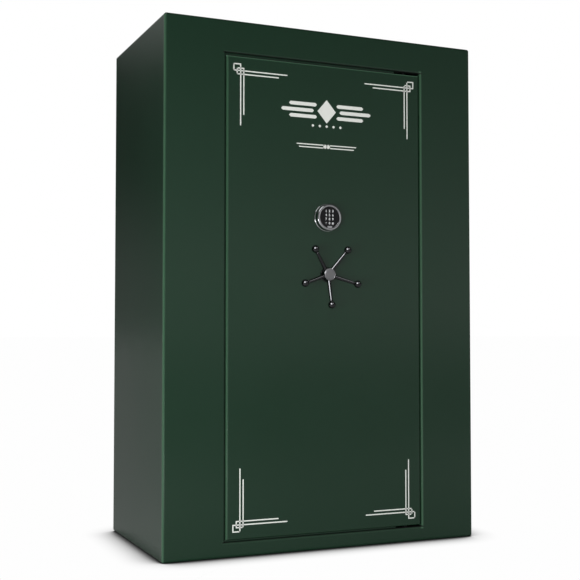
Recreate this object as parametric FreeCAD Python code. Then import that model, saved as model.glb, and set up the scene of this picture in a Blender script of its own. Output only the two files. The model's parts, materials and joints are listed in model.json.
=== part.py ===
"""Upright gun safe: a welded steel cabinet with a flush door on concealed pivots, a
rack-and-pinion bolt work turned by a five-spoke handle, an electronic keypad lock,
and a carpeted interior with shelves and a barrel rack.

Frame: X to the right, Y to the back, Z up, in millimetres. The origin is the centre
of the cabinet's underside. The rest pose is the door closed with the bolts drawn in.
"""
import FreeCAD
import Part
import math
import os

V = FreeCAD.Vector

# ---- driving dimensions -------------------------------------------------------------
cabinet_width = 1197.0
cabinet_depth = 644.0
cabinet_height = 1829.0
shell_steel = 5.0             # cabinet walls and front frame
corner_radius = 8.0           # edges that run front to back
front_bend = 9.0              # bend between the front frame and the cabinet walls
frame_return = 14.0           # depth of the front frame's outer return

opening_half_width = 383.0
opening_bottom = 52.5
opening_top = 1716.0
opening_edge_radius = 5.5
jamb_depth = 42.0             # the bolts close behind this

door_gap = 6.0                # left, right and bottom, between the door plate and the opening
door_gap_top = 10.0           # room for the door to sag as its bearing wears
door_steel = 10.0
door_edge_radius = 7.5

stop_width = 14.0             # how far the door stop stands into the opening
stop_front = 12.0             # behind the front plane
stop_steel = 5.0

pivot_inset = 56.0            # hinge axis in from the door plate's right edge
pivot_depth = 24.0            # hinge axis behind the front plane
pin_radius = 8.0

pan_clearance = 8.0           # door pan to door stop
pan_right_clearance = 12.0    # door pan to the straight jamb on the hinge side
pan_steel = 4.0
pan_back = 104.0              # rear face of the pan behind the front plane
pan_flange = 22.0
trim_thickness = 10.0

door_board = 22.0             # gypsum fireboard in the door
plate_front = 38.0            # mechanism plate behind the front plane
plate_steel = 4.0

bolt_radius = 16.0
bolt_throw = 10.0 * math.pi   # a quarter turn of the pinion
bolt_clearance = 0.5
bolt_depth = 62.0             # bolt axes behind the front plane
bar_steel = 12.0
bar_inset = 49.0              # bolt length outside the bar
side_bolts = 6
end_bolts = 3

gear_module = 2.0
gear_teeth = 20
pressure_angle = math.radians(20.0)
backlash = 0.35
rack_plane_ends = 64.0        # plane of the upright racks, behind the front plane
rack_plane_sides = 78.0       # plane of the level racks
rack_thickness = 10.0
rack_height = 26.0

lock_x = -32.0                # lock case centre, beside the upright rack
lock_half_x = 30.0
lock_half_z = 42.0
lock_back = 76.0
lock_bolt_y = (rack_plane_ends - 0.5, rack_plane_ends + 7.5)
lock_bolt_half_z = 6.0
lock_throw = 12.0
lock_grip = 4.0               # how far the thrown lock bolt reaches under the lug

handle_z = 961.0
keypad_z = 1163.0
spindle_radius = 8.0
handle_reach = 107.0          # handle axis to knob centre
knob_radius = 13.2
knob_stand_off = 39.5
hub_stand_off = 27.5

keypad_radius = 47.0
keypad_window = 37.0
keypad_height = 25.0
face_recess = 4.0             # black face behind the rim
board_depth = 10.4            # circuit board behind the rim
key_pitch_x = 13.0
key_pitch_z = 14.3
key_width = 10.8
key_tall = 10.8
key_travel = 1.2

fireboard = 16.0
carpet_board = 6.0
anchor_x = 450.0
anchor_y = 200.0
anchor_radius = 7.0

furniture_front = -150.0
divider_x = 150.0
furniture_board = 16.0
top_shelf_z = 1500.0
side_shelf_levels = (320.0, 610.0, 900.0, 1190.0)

# ---- worked-out places --------------------------------------------------------------
half_width = cabinet_width / 2
front = -cabinet_depth / 2
back = cabinet_depth / 2
door_half = opening_half_width - door_gap
door_bottom = opening_bottom + door_gap
door_top = opening_top - door_gap_top
pivot_x = door_half - pivot_inset
pivot_y = front + pivot_depth
stop_left = -opening_half_width + stop_width
stop_low = opening_bottom + stop_width
stop_high = opening_top - stop_width
stop_end = pivot_x - 41.0     # the stop ends clear of the hinge block's swing
pan_left = stop_left + pan_clearance
pan_right = opening_half_width - pan_right_clearance
pan_low = stop_low + pan_clearance
pan_high = stop_high - pan_clearance
plate_back = plate_front + plate_steel
pitch_radius = gear_module * gear_teeth / 2
inner_half = half_width - shell_steel - fireboard - carpet_board
inner_back = back - shell_steel - fireboard - carpet_board
inner_floor = shell_steel + fireboard + carpet_board
inner_top = cabinet_height - inner_floor
lining_front = front + jamb_depth + 2.0
side_lining_front = front + shell_steel + 3.0


# ---- helpers ------------------------------------------------------------------------
def block(x0, x1, y0, y1, z0, z1):
    """A box between two corners."""
    return Part.makeBox(x1 - x0, y1 - y0, z1 - z0, V(x0, y0, z0))


def rod(radius, start, end):
    """A cylinder between two points."""
    a, b = V(*start), V(*end)
    return Part.makeCylinder(radius, (b - a).Length, a, b - a)


def edges_along(shape, axis):
    """Straight edges parallel to an axis."""
    found = []
    for edge in shape.Edges:
        if not isinstance(edge.Curve, Part.Line):
            continue
        along = edge.tangentAt(edge.FirstParameter)
        if abs(abs(along.dot(axis)) - 1) < 1e-6:
            found.append(edge)
    return found


def edges_in_plane_y(shape, y, x_limit=None, inside=False):
    """Edges that lie in the plane Y = y, optionally only those inside or outside x_limit."""
    found = []
    for edge in shape.Edges:
        box = edge.BoundBox
        if abs(box.YMin - y) > 1e-4 or abs(box.YMax - y) > 1e-4:
            continue
        if x_limit is not None:
            within = max(abs(box.XMin), abs(box.XMax)) < x_limit
            if within != inside:
                continue
        found.append(edge)
    return found


def rounded_block(x0, x1, y0, y1, z0, z1, radius):
    """A box whose four edges along Y are rounded."""
    shape = block(x0, x1, y0, y1, z0, z1)
    return shape.makeFillet(radius, edges_along(shape, V(0, 1, 0)))


def cut_all(shape, tools):
    return shape.cut(Part.makeCompound(tools)) if tools else shape


def turned(profile, centre):
    """Spins a closed (radius, y) profile about the Y line through centre (x, z)."""
    x, z = centre
    points = [V(x + r, y, z) for r, y in profile]
    face = Part.Face(Part.makePolygon(points + points[:1]))
    return face.revolve(V(x, 0, z), V(0, 1, 0), 360)


def spread(first, last, count):
    step = (last - first) / (count - 1)
    return [first + step * i for i in range(count)]


def screw(x, y, z, length):
    """Button-head screw along Y: the head's underside is at y, the shank runs towards -Y."""
    head = turned([(0, y), (5.5, y), (5.2, y + 1.8), (3.6, y + 3.0), (0, y + 3.0)], (x, z))
    hexagon = Part.makePolygon(
        [V(x + 2.1 * math.cos(math.radians(60 * i)), y + 1.2,
           z + 2.1 * math.sin(math.radians(60 * i))) for i in range(7)]
    )
    socket = Part.Face(hexagon).extrude(V(0, 3, 0))
    shank = rod(3.0, (x, y - length, z), (x, y, z))
    return head.cut(socket).fuse(shank)


# ---- cabinet ------------------------------------------------------------------------
def anchor_holes(z0, z1):
    return [
        rod(anchor_radius, (sx * anchor_x, sy * anchor_y, z0), (sx * anchor_x, sy * anchor_y, z1))
        for sx in (-1, 1)
        for sy in (-1, 1)
    ]


def body_wrap():
    """Sides, top and bottom, bent from one sheet."""
    t = shell_steel
    outer = rounded_block(-half_width, half_width, front + frame_return, back, 0, cabinet_height,
                          corner_radius)
    inner = rounded_block(-half_width + t, half_width - t, front, back + 1, t,
                          cabinet_height - t, corner_radius - t)
    return cut_all(outer.cut(inner), anchor_holes(-1, t + 1))


def back_panel():
    t = shell_steel
    return rounded_block(-half_width + t, half_width - t, back - t, back, t,
                         cabinet_height - t, corner_radius - t)


def front_frame():
    """Face of the cabinet, bent back to the walls outside and to the jamb inside."""
    t = shell_steel
    outer = rounded_block(-half_width, half_width, front, front + frame_return, 0,
                          cabinet_height, corner_radius)
    outer = outer.makeFillet(front_bend, edges_in_plane_y(outer, front))
    hollow = rounded_block(-half_width + t, half_width - t, front + t, front + frame_return + 1,
                           t, cabinet_height - t, corner_radius - t)
    jamb = block(-opening_half_width - t, opening_half_width + t, front + t / 2,
                 front + jamb_depth, opening_bottom - t, opening_top + t)
    opening = block(-opening_half_width, opening_half_width, front - 1, front + jamb_depth + 1,
                    opening_bottom, opening_top)
    frame = outer.cut(hollow).fuse(jamb).cut(opening).removeSplitter()
    inner_edges = edges_in_plane_y(frame, front, opening_half_width + 1, inside=True)
    frame = frame.makeFillet(opening_edge_radius, inner_edges)
    holes = [
        rod(pin_radius + 0.5, (pivot_x, pivot_y, z0), (pivot_x, pivot_y, z0 + t + 2))
        for z0 in (opening_bottom - t - 1, opening_top - 1)
    ]
    return cut_all(frame, holes)


def door_stop():
    """Formed channel on the latch side, top and bottom that the closed door shuts against."""
    y0 = front + stop_front
    y1 = front + jamb_depth

    def course(x0, z0, z1, depth0, depth1):
        return block(x0, stop_end, depth0, depth1, z0, z1)

    shape = course(-opening_half_width, opening_bottom, opening_top, y0, y1)
    shape = shape.cut(course(stop_left, stop_low, stop_high, y0 - 1, y1 + 1).fuse(
        block(stop_left, stop_end + 1, y0 - 1, y1 + 1, stop_low, stop_high)))
    back_hollow = block(-opening_half_width - 1, stop_end + 1, y0 + stop_steel, y1 + 1,
                        opening_bottom - 1, opening_top + 1)
    inner_web = block(stop_left - stop_steel, stop_end + 2, y0, y1 + 2, stop_low - stop_steel,
                      stop_high + stop_steel)
    return shape.cut(back_hollow.cut(inner_web))


def jamb_seal():
    """Intumescent strip on the face of the door stop."""
    y0, y1 = front + door_steel + 0.3, front + stop_front
    outer = block(-opening_half_width + 8, stop_end, y0, y1, opening_bottom + 8, opening_top - 8)
    inner = block(stop_left - 1, stop_end + 1, y0 - 1, y1 + 1, stop_low - 1, stop_high + 1)
    return outer.cut(inner)


def fireboard_lining():
    """Five gypsum boards between the steel and the carpeted panels."""
    t = shell_steel
    x1 = half_width - t
    y1 = back - t
    z1 = cabinet_height - t
    sides = [
        block(x0, x0 + fireboard, side_lining_front, y1 - fireboard, t, z1)
        for x0 in (-x1, x1 - fireboard)
    ]
    rear = block(-x1, x1, y1 - fireboard, y1, t, z1)
    rear = rear.makeFillet(corner_radius - t, edges_along(rear, V(0, 1, 0)))
    sides = [
        side.makeFillet(corner_radius - t, [
            e for e in edges_along(side, V(0, 1, 0))
            if abs(e.BoundBox.XMin) > x1 - 1 and abs(e.BoundBox.XMax) > x1 - 1
        ])
        for side in sides
    ]
    reach = x1 - fireboard
    floor = block(-reach, reach, lining_front, y1 - fireboard, t, t + fireboard)
    floor = cut_all(floor, anchor_holes(t - 1, t + fireboard + 1))
    ceiling = block(-reach, reach, lining_front, y1 - fireboard, z1 - fireboard, z1)
    return Part.makeCompound(sides + [rear, floor, ceiling])


def side_liner(sign):
    x0, x1 = sorted((sign * inner_half, sign * (inner_half + carpet_board)))
    return block(x0, x1, side_lining_front, inner_back, inner_floor, inner_top)


def back_liner():
    return block(-inner_half - carpet_board, inner_half + carpet_board, inner_back,
                 inner_back + carpet_board, inner_floor, inner_top)


def ceiling_liner():
    return block(-inner_half - carpet_board, inner_half + carpet_board, lining_front,
                 inner_back + carpet_board, inner_top, inner_top + carpet_board)


def floor_liner():
    floor = block(-inner_half - carpet_board, inner_half + carpet_board, lining_front,
                  inner_back + carpet_board, inner_floor - carpet_board, inner_floor)
    return cut_all(floor, anchor_holes(inner_floor - carpet_board - 1, inner_floor + 1))


def divider():
    """Upright board between the long-gun side and the shelf side."""
    half = furniture_board / 2
    board = block(divider_x - half, divider_x + half, furniture_front, inner_back,
                  inner_floor, top_shelf_z)
    return board.makeFillet(5, [e for e in edges_along(board, V(0, 0, 1))
                                if e.BoundBox.YMax < furniture_front + 1])


def soft_edged_shelf(x0, x1, z0):
    board = block(x0, x1, furniture_front, inner_back, z0, z0 + furniture_board)
    return board.makeFillet(5, [e for e in edges_along(board, V(1, 0, 0))
                                if e.BoundBox.YMax < furniture_front + 1])


def top_shelf():
    return soft_edged_shelf(-inner_half, inner_half, top_shelf_z)


def side_shelves():
    x0 = divider_x + furniture_board / 2 + 6.0
    x1 = inner_half - 6.0
    return Part.makeCompound([soft_edged_shelf(x0, x1, z) for z in side_shelf_levels])


def shelf_hardware():
    """Slotted uprights on both sides of the shelf bay, and the clips under each shelf."""
    bottom, top = inner_floor + 20.0, top_shelf_z - 20.0
    pieces = []
    for wall_x, sign in ((divider_x + furniture_board / 2, 1), (inner_half, -1)):
        x0, x1 = sorted((wall_x, wall_x + sign * 5.0))
        for y in (furniture_front + 70.0, inner_back - 70.0):
            strip = block(x0, x1, y - 8, y + 8, bottom, top)
            count = int((top - bottom - 40) // 50)
            slots = [block(x0 - 1, x1 + 1, y - 3, y + 3, bottom + 20 + 50 * i,
                           bottom + 34 + 50 * i) for i in range(count)]
            pieces.append(cut_all(strip, slots))
            for z in side_shelf_levels:
                a, b = sorted((wall_x + sign * 5.0, wall_x + sign * 7.0))
                c = sorted((wall_x + sign * 5.0, wall_x + sign * 24.0))
                upright = block(a, b, y - 7, y + 7, z - 22, z)
                ledge = block(c[0], c[1], y - 7, y + 7, z - 2.5, z)
                pieces.append(upright.fuse(ledge).removeSplitter())
    return Part.makeCompound(pieces)


def barrel_rack():
    """Padded pegs on a rear rail: the barrels stand between them."""
    rail_z = 1150.0
    x0, x1 = -inner_half, divider_x - furniture_board / 2
    rail = block(x0, x1, inner_back - 18, inner_back, rail_z, rail_z + 60)
    rail = rail.makeFillet(6, [e for e in edges_along(rail, V(1, 0, 0))
                               if e.BoundBox.YMax < inner_back - 1])
    pieces = [rail]
    for x in spread(x0 + 35, x1 - 35, 9):
        peg = block(x - 11, x + 11, inner_back - 118, inner_back - 18, rail_z + 14, rail_z + 46)
        peg = peg.makeFillet(9, [e for e in edges_along(peg, V(0, 0, 1))
                                 if e.BoundBox.YMax < inner_back - 20])
        pieces.append(peg)
    return Part.makeCompound(pieces)


# ---- hinges -------------------------------------------------------------------------
def hinge_brackets():
    """Blocks welded inside the frame above and below the opening that hold the pins."""
    pieces = []
    for z0, z1 in ((shell_steel, opening_bottom - shell_steel),
                   (opening_top + shell_steel, opening_top + shell_steel + 34)):
        bracket = block(pivot_x - 30, pivot_x + 30, front + 8, front + jamb_depth, z0, z1)
        pieces.append(bracket.cut(rod(pin_radius + 0.02, (pivot_x, pivot_y, z0 - 1),
                                      (pivot_x, pivot_y, z1 + 1))))
    return Part.makeCompound(pieces)


def hinge_pins():
    low = rod(pin_radius, (pivot_x, pivot_y, shell_steel + 2),
              (pivot_x, pivot_y, pan_low - 1))
    high = rod(pin_radius, (pivot_x, pivot_y, pan_high + 1),
               (pivot_x, pivot_y, opening_top + shell_steel + 34))
    cap = rod(pin_radius + 5, (pivot_x, pivot_y, opening_top + shell_steel + 34),
              (pivot_x, pivot_y, opening_top + shell_steel + 38))
    return Part.makeCompound([low, high.fuse(cap)])


def hinge_bearing():
    """Thrust bearing that carries the door on the sill: two washers and a cage."""
    pieces = []
    for z0, z1, outer in ((0.0, 2.0, 14.0), (2.0, 3.6, 12.5), (3.6, 5.6, 14.0)):
        ring = rod(outer, (pivot_x, pivot_y, opening_bottom + z0),
                   (pivot_x, pivot_y, opening_bottom + z1))
        pieces.append(ring.cut(rod(pin_radius + 0.1, (pivot_x, pivot_y, opening_bottom - 1),
                                   (pivot_x, pivot_y, opening_bottom + 8))))
    return Part.makeCompound(pieces)


def hinge_blocks():
    """Blocks on the ends of the door pan that turn on the pins."""
    pieces = []
    for z0, z1 in ((door_bottom, pan_low), (pan_high, door_top)):
        piece = block(pivot_x - 25, pivot_x + 25, front + door_steel, pivot_y + 22, z0, z1)
        piece = piece.makeFillet(8, [e for e in edges_along(piece, V(0, 0, 1))
                                     if e.BoundBox.YMin > pivot_y])
        pieces.append(piece.cut(rod(pin_radius + 0.05, (pivot_x, pivot_y, z0 - 1),
                                    (pivot_x, pivot_y, z1 + 1))))
    return Part.makeCompound(pieces)


# ---- door ---------------------------------------------------------------------------
def cable_hole(radius):
    return rod(radius, (-14, front - 30, keypad_z), (-14, front + 60, keypad_z))


def spindle_hole(radius):
    return rod(radius, (0, front - 60, handle_z), (0, front + 120, handle_z))


def door_plate():
    plate = block(-door_half, door_half, front, front + door_steel, door_bottom, door_top)
    plate = plate.makeFillet(door_edge_radius, edges_in_plane_y(plate, front))
    return cut_all(plate, [cable_hole(6), spindle_hole(12)])


def bolt_places():
    """Name, outward direction and the (x, z) of every bolt tip with the bolts drawn in."""
    side_z = spread(handle_z - 700, handle_z + 620, side_bolts)
    end_x = spread(-190, 190, end_bolts)
    return {
        "left": ((-1, 0), [(pan_left, z) for z in side_z]),
        "right": ((1, 0), [(pan_right, z) for z in side_z]),
        "top": ((0, 1), [(x, pan_high) for x in end_x]),
        "bottom": ((0, -1), [(x, pan_low) for x in end_x]),
    }


def door_pan():
    """Welded pan behind the door plate: four walls drilled for the bolts, and a rear flange."""
    t = pan_steel
    y0, y1 = front + door_steel, front + pan_back
    outer = block(pan_left, pan_right, y0, y1, pan_low, pan_high)
    inner = block(pan_left + t, pan_right - t, y0 - 1, y1 - t, pan_low + t, pan_high - t)
    window = block(pan_left + pan_flange, pan_right - pan_flange, y0, y1 + 1,
                   pan_low + pan_flange, pan_high - pan_flange)
    holes = []
    for (dx, dz), places in bolt_places().values():
        for x, z in places:
            holes.append(rod(bolt_radius + bolt_clearance,
                             (x - 2 * t * dx, front + bolt_depth, z - 2 * t * dz),
                             (x + t * dx, front + bolt_depth, z + t * dz)))
    for x, z in trim_screw_places():
        holes.append(rod(3.2, (x, y1 - t - 1, z), (x, y1 + 1, z)))
    return cut_all(outer.cut(inner).cut(window), holes)


def door_fireboard():
    t = pan_steel + 0.5
    y0 = front + door_steel
    board = block(pan_left + t, pan_right - t, y0, y0 + door_board, pan_low + t, pan_high - t)
    return cut_all(board, [cable_hole(8), spindle_hole(18)])


def hard_plate():
    """Hardened plate in front of the lock."""
    y1 = front + plate_front
    plate = rounded_block(-95, 75, y1 - 6, y1, keypad_z - 75, keypad_z + 75, 10)
    return cut_all(plate, [cable_hole(6)])


def mechanism_plate():
    t = pan_steel
    plate = block(pan_left + t, pan_right - t, front + plate_front, front + plate_back,
                  pan_low + t, pan_high - t)
    holes = [cable_hole(6), spindle_hole(13)]
    holes += [rod(3.2, (x, front, z), (x, front + 60, z)) for x, z in lock_screw_places()]
    return cut_all(plate, holes)


def spindle_bushings():
    """Flanged bushes in the door plate and the mechanism plate."""
    inner = spindle_radius + 0.05
    y0 = front
    step = y0 + door_steel
    near = turned([(inner, y0), (12, y0), (12, step), (16, step), (16, step + 3),
                   (inner, step + 3)], (0, handle_z))
    y1 = front + plate_front
    far = turned([(inner, y1 - 4), (17, y1 - 4), (17, y1), (13, y1), (13, y1 + 14),
                  (inner, y1 + 14)], (0, handle_z))
    return Part.makeCompound([near, far])


def bar_glides():
    """Pads on the mechanism plate that the bolt bars slide on."""
    y0, y1 = front + plate_back, front + bolt_depth - bolt_radius - 0.2
    pads = []
    near = bar_inset - bolt_throw - 4
    far = bar_inset + bar_steel + 4
    for z in spread(handle_z - 560, handle_z + 480, 3):
        for x0, x1 in ((pan_left + near, pan_left + far), (pan_right - far, pan_right - near)):
            pads.append(rounded_block(x0, x1, y0, y1, z - 25, z + 25, 4))
    for x in (-120, 120):
        for z0, z1 in ((pan_low + near, pan_low + far), (pan_high - far, pan_high - near)):
            pads.append(rounded_block(x - 25, x + 25, y0, y1, z0, z1, 4))
    return Part.makeCompound(pads)


def trim_screw_places():
    inset = pan_flange / 2
    x0, x1 = pan_left + inset, pan_right - inset
    z0, z1 = pan_low + inset, pan_high - inset
    places = [(x, z) for x in (x0, x1) for z in spread(z0 + 30, z1 - 30, 6)]
    places += [(x, z) for z in (z0, z1) for x in spread(x0 + 120, x1 - 120, 3)]
    return places


def lock_screw_places():
    return [(lock_x + dx, keypad_z + dz) for dx, dz in ((-20, 31), (20, 31), (-20, -31))]


def door_trim_panel():
    """Carpeted cover over the bolt work."""
    y0 = front + pan_back
    panel = rounded_block(pan_left, pan_right, y0, y0 + trim_thickness, pan_low, pan_high, 6)
    rear = edges_in_plane_y(panel, y0 + trim_thickness)
    panel = panel.makeFillet(3, rear)
    return cut_all(panel, [rod(3.2, (x, y0 - 1, z), (x, y0 + 20, z))
                           for x, z in trim_screw_places()])


def door_screws():
    y_trim = front + pan_back + trim_thickness
    pieces = [screw(x, y_trim, z, 18) for x, z in trim_screw_places()]
    pieces += [screw(x, front + lock_back, z, 36) for x, z in lock_screw_places()]
    return Part.makeCompound(pieces)


# ---- lock ---------------------------------------------------------------------------
def lock_case():
    case = rounded_block(lock_x - lock_half_x, lock_x + lock_half_x, front + plate_back,
                         front + lock_back, keypad_z - lock_half_z, keypad_z + lock_half_z, 5)
    mouth = block(lock_x, lock_x + lock_half_x + 1, front + lock_bolt_y[0] - 0.2,
                  front + lock_bolt_y[1] + 0.2, keypad_z - lock_bolt_half_z - 0.2,
                  keypad_z + lock_bolt_half_z + 0.2)
    holes = [rod(3.1, (x, front, z), (x, front + 90, z)) for x, z in lock_screw_places()]
    return cut_all(case, [mouth] + holes)


def lock_bolt():
    bolt = block(lock_x + 1, lock_x + lock_half_x + 2, front + lock_bolt_y[0],
                 front + lock_bolt_y[1], keypad_z - lock_bolt_half_z,
                 keypad_z + lock_bolt_half_z)
    tip = [e for e in edges_along(bolt, V(0, 1, 0))
           if e.BoundBox.XMin > lock_x + lock_half_x]
    return bolt.makeFillet(1.5, tip)


# ---- keypad -------------------------------------------------------------------------
def key_places():
    """Name and (x, z) of each key, left to right and top to bottom."""
    names = ["1", "2", "3", "4", "5", "6", "7", "8", "9", "star", "0", "hash"]
    places = []
    for i, name in enumerate(names):
        x = (i % 3 - 1) * key_pitch_x
        z = keypad_z + (1.5 - i // 3) * key_pitch_z
        places.append((name, x, z))
    return places


def keypad_tab(grow=0.0):
    """Small raised tab at the foot of the window."""
    tab = block(-9 - grow, 9 + grow, front - keypad_height + 1, front - keypad_height + 6,
                keypad_z - keypad_window - 4, keypad_z - keypad_window + 7 + grow)
    return tab.makeFillet(2.5, [e for e in edges_along(tab, V(0, 1, 0))
                                if e.BoundBox.ZMin > keypad_z - keypad_window])


def keypad_housing():
    r, w, h = keypad_radius, keypad_window, keypad_height
    y0 = front - h
    profile = [(w, y0 + 1.2), (w + 1.2, y0), (r - 4, y0), (r - 1.2, y0 + 1.2), (r, y0 + 4),
               (r, front - 3), (r + 1.5, front - 2.4), (r + 1.5, front), (0, front), (0, front - 3),
               (r - 4, front - 3), (r - 4, y0 + 8), (w, y0 + 8)]
    ring = turned(profile, (0, keypad_z))
    return ring.fuse(keypad_tab()).cut(cable_hole(4)).removeSplitter()


def keypad_face():
    y0 = front - keypad_height + face_recess
    disc = rod(keypad_window - 0.2, (0, y0, keypad_z), (0, y0 + 2.5, keypad_z))
    disc = disc.cut(keypad_tab(0.3))
    gap = 0.3
    holes = [
        rounded_block(x - key_width / 2 - gap, x + key_width / 2 + gap, y0 - 1, y0 + 4,
                      z - key_tall / 2 - gap, z + key_tall / 2 + gap, 2.8)
        for _, x, z in key_places()
    ]
    return cut_all(disc, holes)


def key(x, z):
    y0 = front - keypad_height + face_recess - 1.0
    cap = rounded_block(x - key_width / 2, x + key_width / 2, y0, y0 + 5.5, z - key_tall / 2,
                        z + key_tall / 2, 2.5)
    return cap.makeFillet(0.7, edges_in_plane_y(cap, y0))


def keypad_board():
    """Circuit board under the keys."""
    y0 = front - keypad_height + board_depth
    board = rod(keypad_radius - 5, (0, y0, keypad_z), (0, y0 + 1.6, keypad_z))
    socket = block(-20, -8, y0 + 1.6, y0 + 6, keypad_z - 6, keypad_z + 6)
    return board.fuse(socket).removeSplitter()


def keypad_cable():
    """Lock lead, straight through the door from the circuit board to the lock case."""
    return rod(2.0, (-14, front - keypad_height + board_depth + 6, keypad_z),
               (-14, front + plate_back, keypad_z))


# ---- handle -------------------------------------------------------------------------
def handle_hub():
    y0 = front - hub_stand_off
    profile = [(0, y0), (19, y0), (21, y0 + 1.6), (21.5, y0 + 6), (23.5, front - 8),
               (26.5, front - 5), (26.5, front - 0.6), (spindle_radius + 0.02, front - 0.6),
               (spindle_radius + 0.02, y0 + 8), (0, y0 + 8)]
    return turned(profile, (0, handle_z))


def spoke_angles():
    return [math.radians(-90 + 72 * i) for i in range(5)]


def knob_centre(angle):
    return V(handle_reach * math.cos(angle), front - knob_stand_off,
             handle_z + handle_reach * math.sin(angle))


def handle_knobs():
    return Part.makeCompound([Part.makeSphere(knob_radius, knob_centre(a))
                              for a in spoke_angles()])


def handle_spokes():
    """Tapered rods, swept forward from the hub to the knobs."""
    hub, knobs = handle_hub(), handle_knobs()
    spokes = []
    for a in spoke_angles():
        start = V(14 * math.cos(a), front - 14, handle_z + 14 * math.sin(a))
        along = knob_centre(a) - start
        cone = Part.makeCone(7.2, 5.0, along.Length, start, along)
        spokes.append(cone.cut(hub).cut(knobs).Solids[0])
    return Part.makeCompound(spokes)


def spindle():
    """Shaft from the hub to the pinion, with a collar behind the pinion."""
    shaft = rod(spindle_radius, (0, front - hub_stand_off + 8, handle_z), (0, front + 90.4, handle_z))
    collar = rod(13, (0, front + 90.4, handle_z), (0, front + 95, handle_z))
    return shaft.fuse(collar)


def involute_point(base, angle):
    return base * math.sqrt(1 + angle * angle), angle - math.atan(angle)


def pinion():
    """Spur pinion, wide enough for the level and the upright racks."""
    base = pitch_radius * math.cos(pressure_angle)
    tip = pitch_radius + gear_module
    root = pitch_radius - 1.25 * gear_module
    at_pitch = math.tan(pressure_angle) - pressure_angle
    half_tooth = (math.pi * gear_module / 2 - backlash) / 2 / pitch_radius
    roll_tip = math.sqrt((tip / base) ** 2 - 1)
    flank = [involute_point(base, roll_tip * i / 6) for i in range(7)]
    points = []
    for k in range(gear_teeth):
        middle = 2 * math.pi * k / gear_teeth
        left = [(root, -half_tooth - at_pitch)]
        left += [(r, -half_tooth - at_pitch + turn) for r, turn in flank]
        right = [(r, -a) for r, a in reversed(left)]
        points += [(r, middle + a) for r, a in left + right]
    y0 = front + rack_plane_ends - 2
    outline = [V(r * math.cos(a), y0, handle_z + r * math.sin(a)) for r, a in points]
    face = Part.Face(Part.makePolygon(outline + outline[:1]))
    return face.extrude(V(0, 28, 0)).cut(spindle_hole(spindle_radius + 0.02))


# ---- bolt work ----------------------------------------------------------------------
def rack(length_before, length_after, blank_end, plane):
    """Rack along +X above a pinion at the origin, teeth down; blank_end is its plain far end."""
    pitch = math.pi * gear_module
    add, ded = gear_module, 1.25 * gear_module
    quarter = pitch / 4 - backlash / 4
    slope = math.tan(pressure_angle)
    first = -int(length_before // pitch)
    last = int(length_after // pitch)
    tip = pitch_radius - add + 0.05
    root = pitch_radius + ded
    outline = [(first * pitch - pitch / 2, root)]
    for k in range(first, last + 1):
        c = (k - 0.5) * pitch
        outline += [(c - quarter - ded * slope, root), (c - quarter + add * slope, tip),
                    (c + quarter - add * slope, tip), (c + quarter + ded * slope, root)]
    right = last * pitch
    outline[0] = (min(blank_end, outline[1][0] - 1), root)
    outline += [(right, root), (right, root + rack_height), (outline[0][0], root + rack_height)]
    points = [V(x, front + plane, z) for x, z in outline]
    return Part.Face(Part.makePolygon(points + points[:1])).extrude(V(0, rack_thickness, 0))


def turned_rack(degrees_about_y, blank_end, plane):
    """The same rack, turned about the handle's axis and moved to it."""
    shape = rack(14, 46, blank_end, plane)
    shape.rotate(V(0, 0, 0), V(0, 1, 0), degrees_about_y)
    shape.translate(V(0, 0, handle_z))
    return shape


def side_bar(x0, x1):
    y0 = front + bolt_depth - bolt_radius
    return block(x0, x1, y0, front + rack_plane_sides, handle_z - 740, handle_z + 660)


def left_bolt_bar():
    x1 = pan_left + bar_inset + bar_steel
    return side_bar(x1 - bar_steel, x1).fuse(
        turned_rack(0, x1 - bar_steel, rack_plane_sides)).removeSplitter()


def right_bolt_bar():
    x0 = pan_right - bar_inset - bar_steel
    return side_bar(x0, x0 + bar_steel).fuse(
        turned_rack(180, -x0 - bar_steel, rack_plane_sides)).removeSplitter()


def end_bar(z0, z1):
    y0 = front + bolt_depth - bolt_radius
    return block(-230, 230, y0, front + rack_plane_sides, z0, z1)


def top_bolt_bar():
    """Cross bar with an upright rack; a lug on the rack passes the lock bolt."""
    z0 = pan_high - bar_inset - bar_steel
    arm = turned_rack(90, -(z0 - handle_z), rack_plane_ends)
    lug_edge = lock_x + lock_half_x + 2 + lock_throw - lock_grip
    lug_front = front + rack_plane_ends
    lug = block(lug_edge, pitch_radius + 4, lug_front, lug_front + rack_thickness,
                keypad_z - lock_bolt_half_z - 16, keypad_z - lock_bolt_half_z - 2)
    return end_bar(z0, z0 + bar_steel).fuse([arm, lug]).removeSplitter()


def bottom_bolt_bar():
    z0 = pan_low + bar_inset
    arm = turned_rack(-90, -(handle_z - z0 - bar_steel), rack_plane_ends)
    return end_bar(z0, z0 + bar_steel).fuse(arm).removeSplitter()


def bolts(side):
    """Round bolts from the bar to the pan wall, with a chamfered nose."""
    (dx, dz), places = bolt_places()[side]
    pieces = []
    for x, z in places:
        nose = V(x, front + bolt_depth, z)
        inward = V(-dx, 0, -dz)
        tip = Part.makeCone(bolt_radius - 2, bolt_radius, 2, nose, inward)
        shank = Part.makeCylinder(bolt_radius, bar_inset - 2, nose + inward * 2, inward)
        pieces.append(tip.fuse(shank).removeSplitter())
    return Part.makeCompound(pieces)


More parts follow.
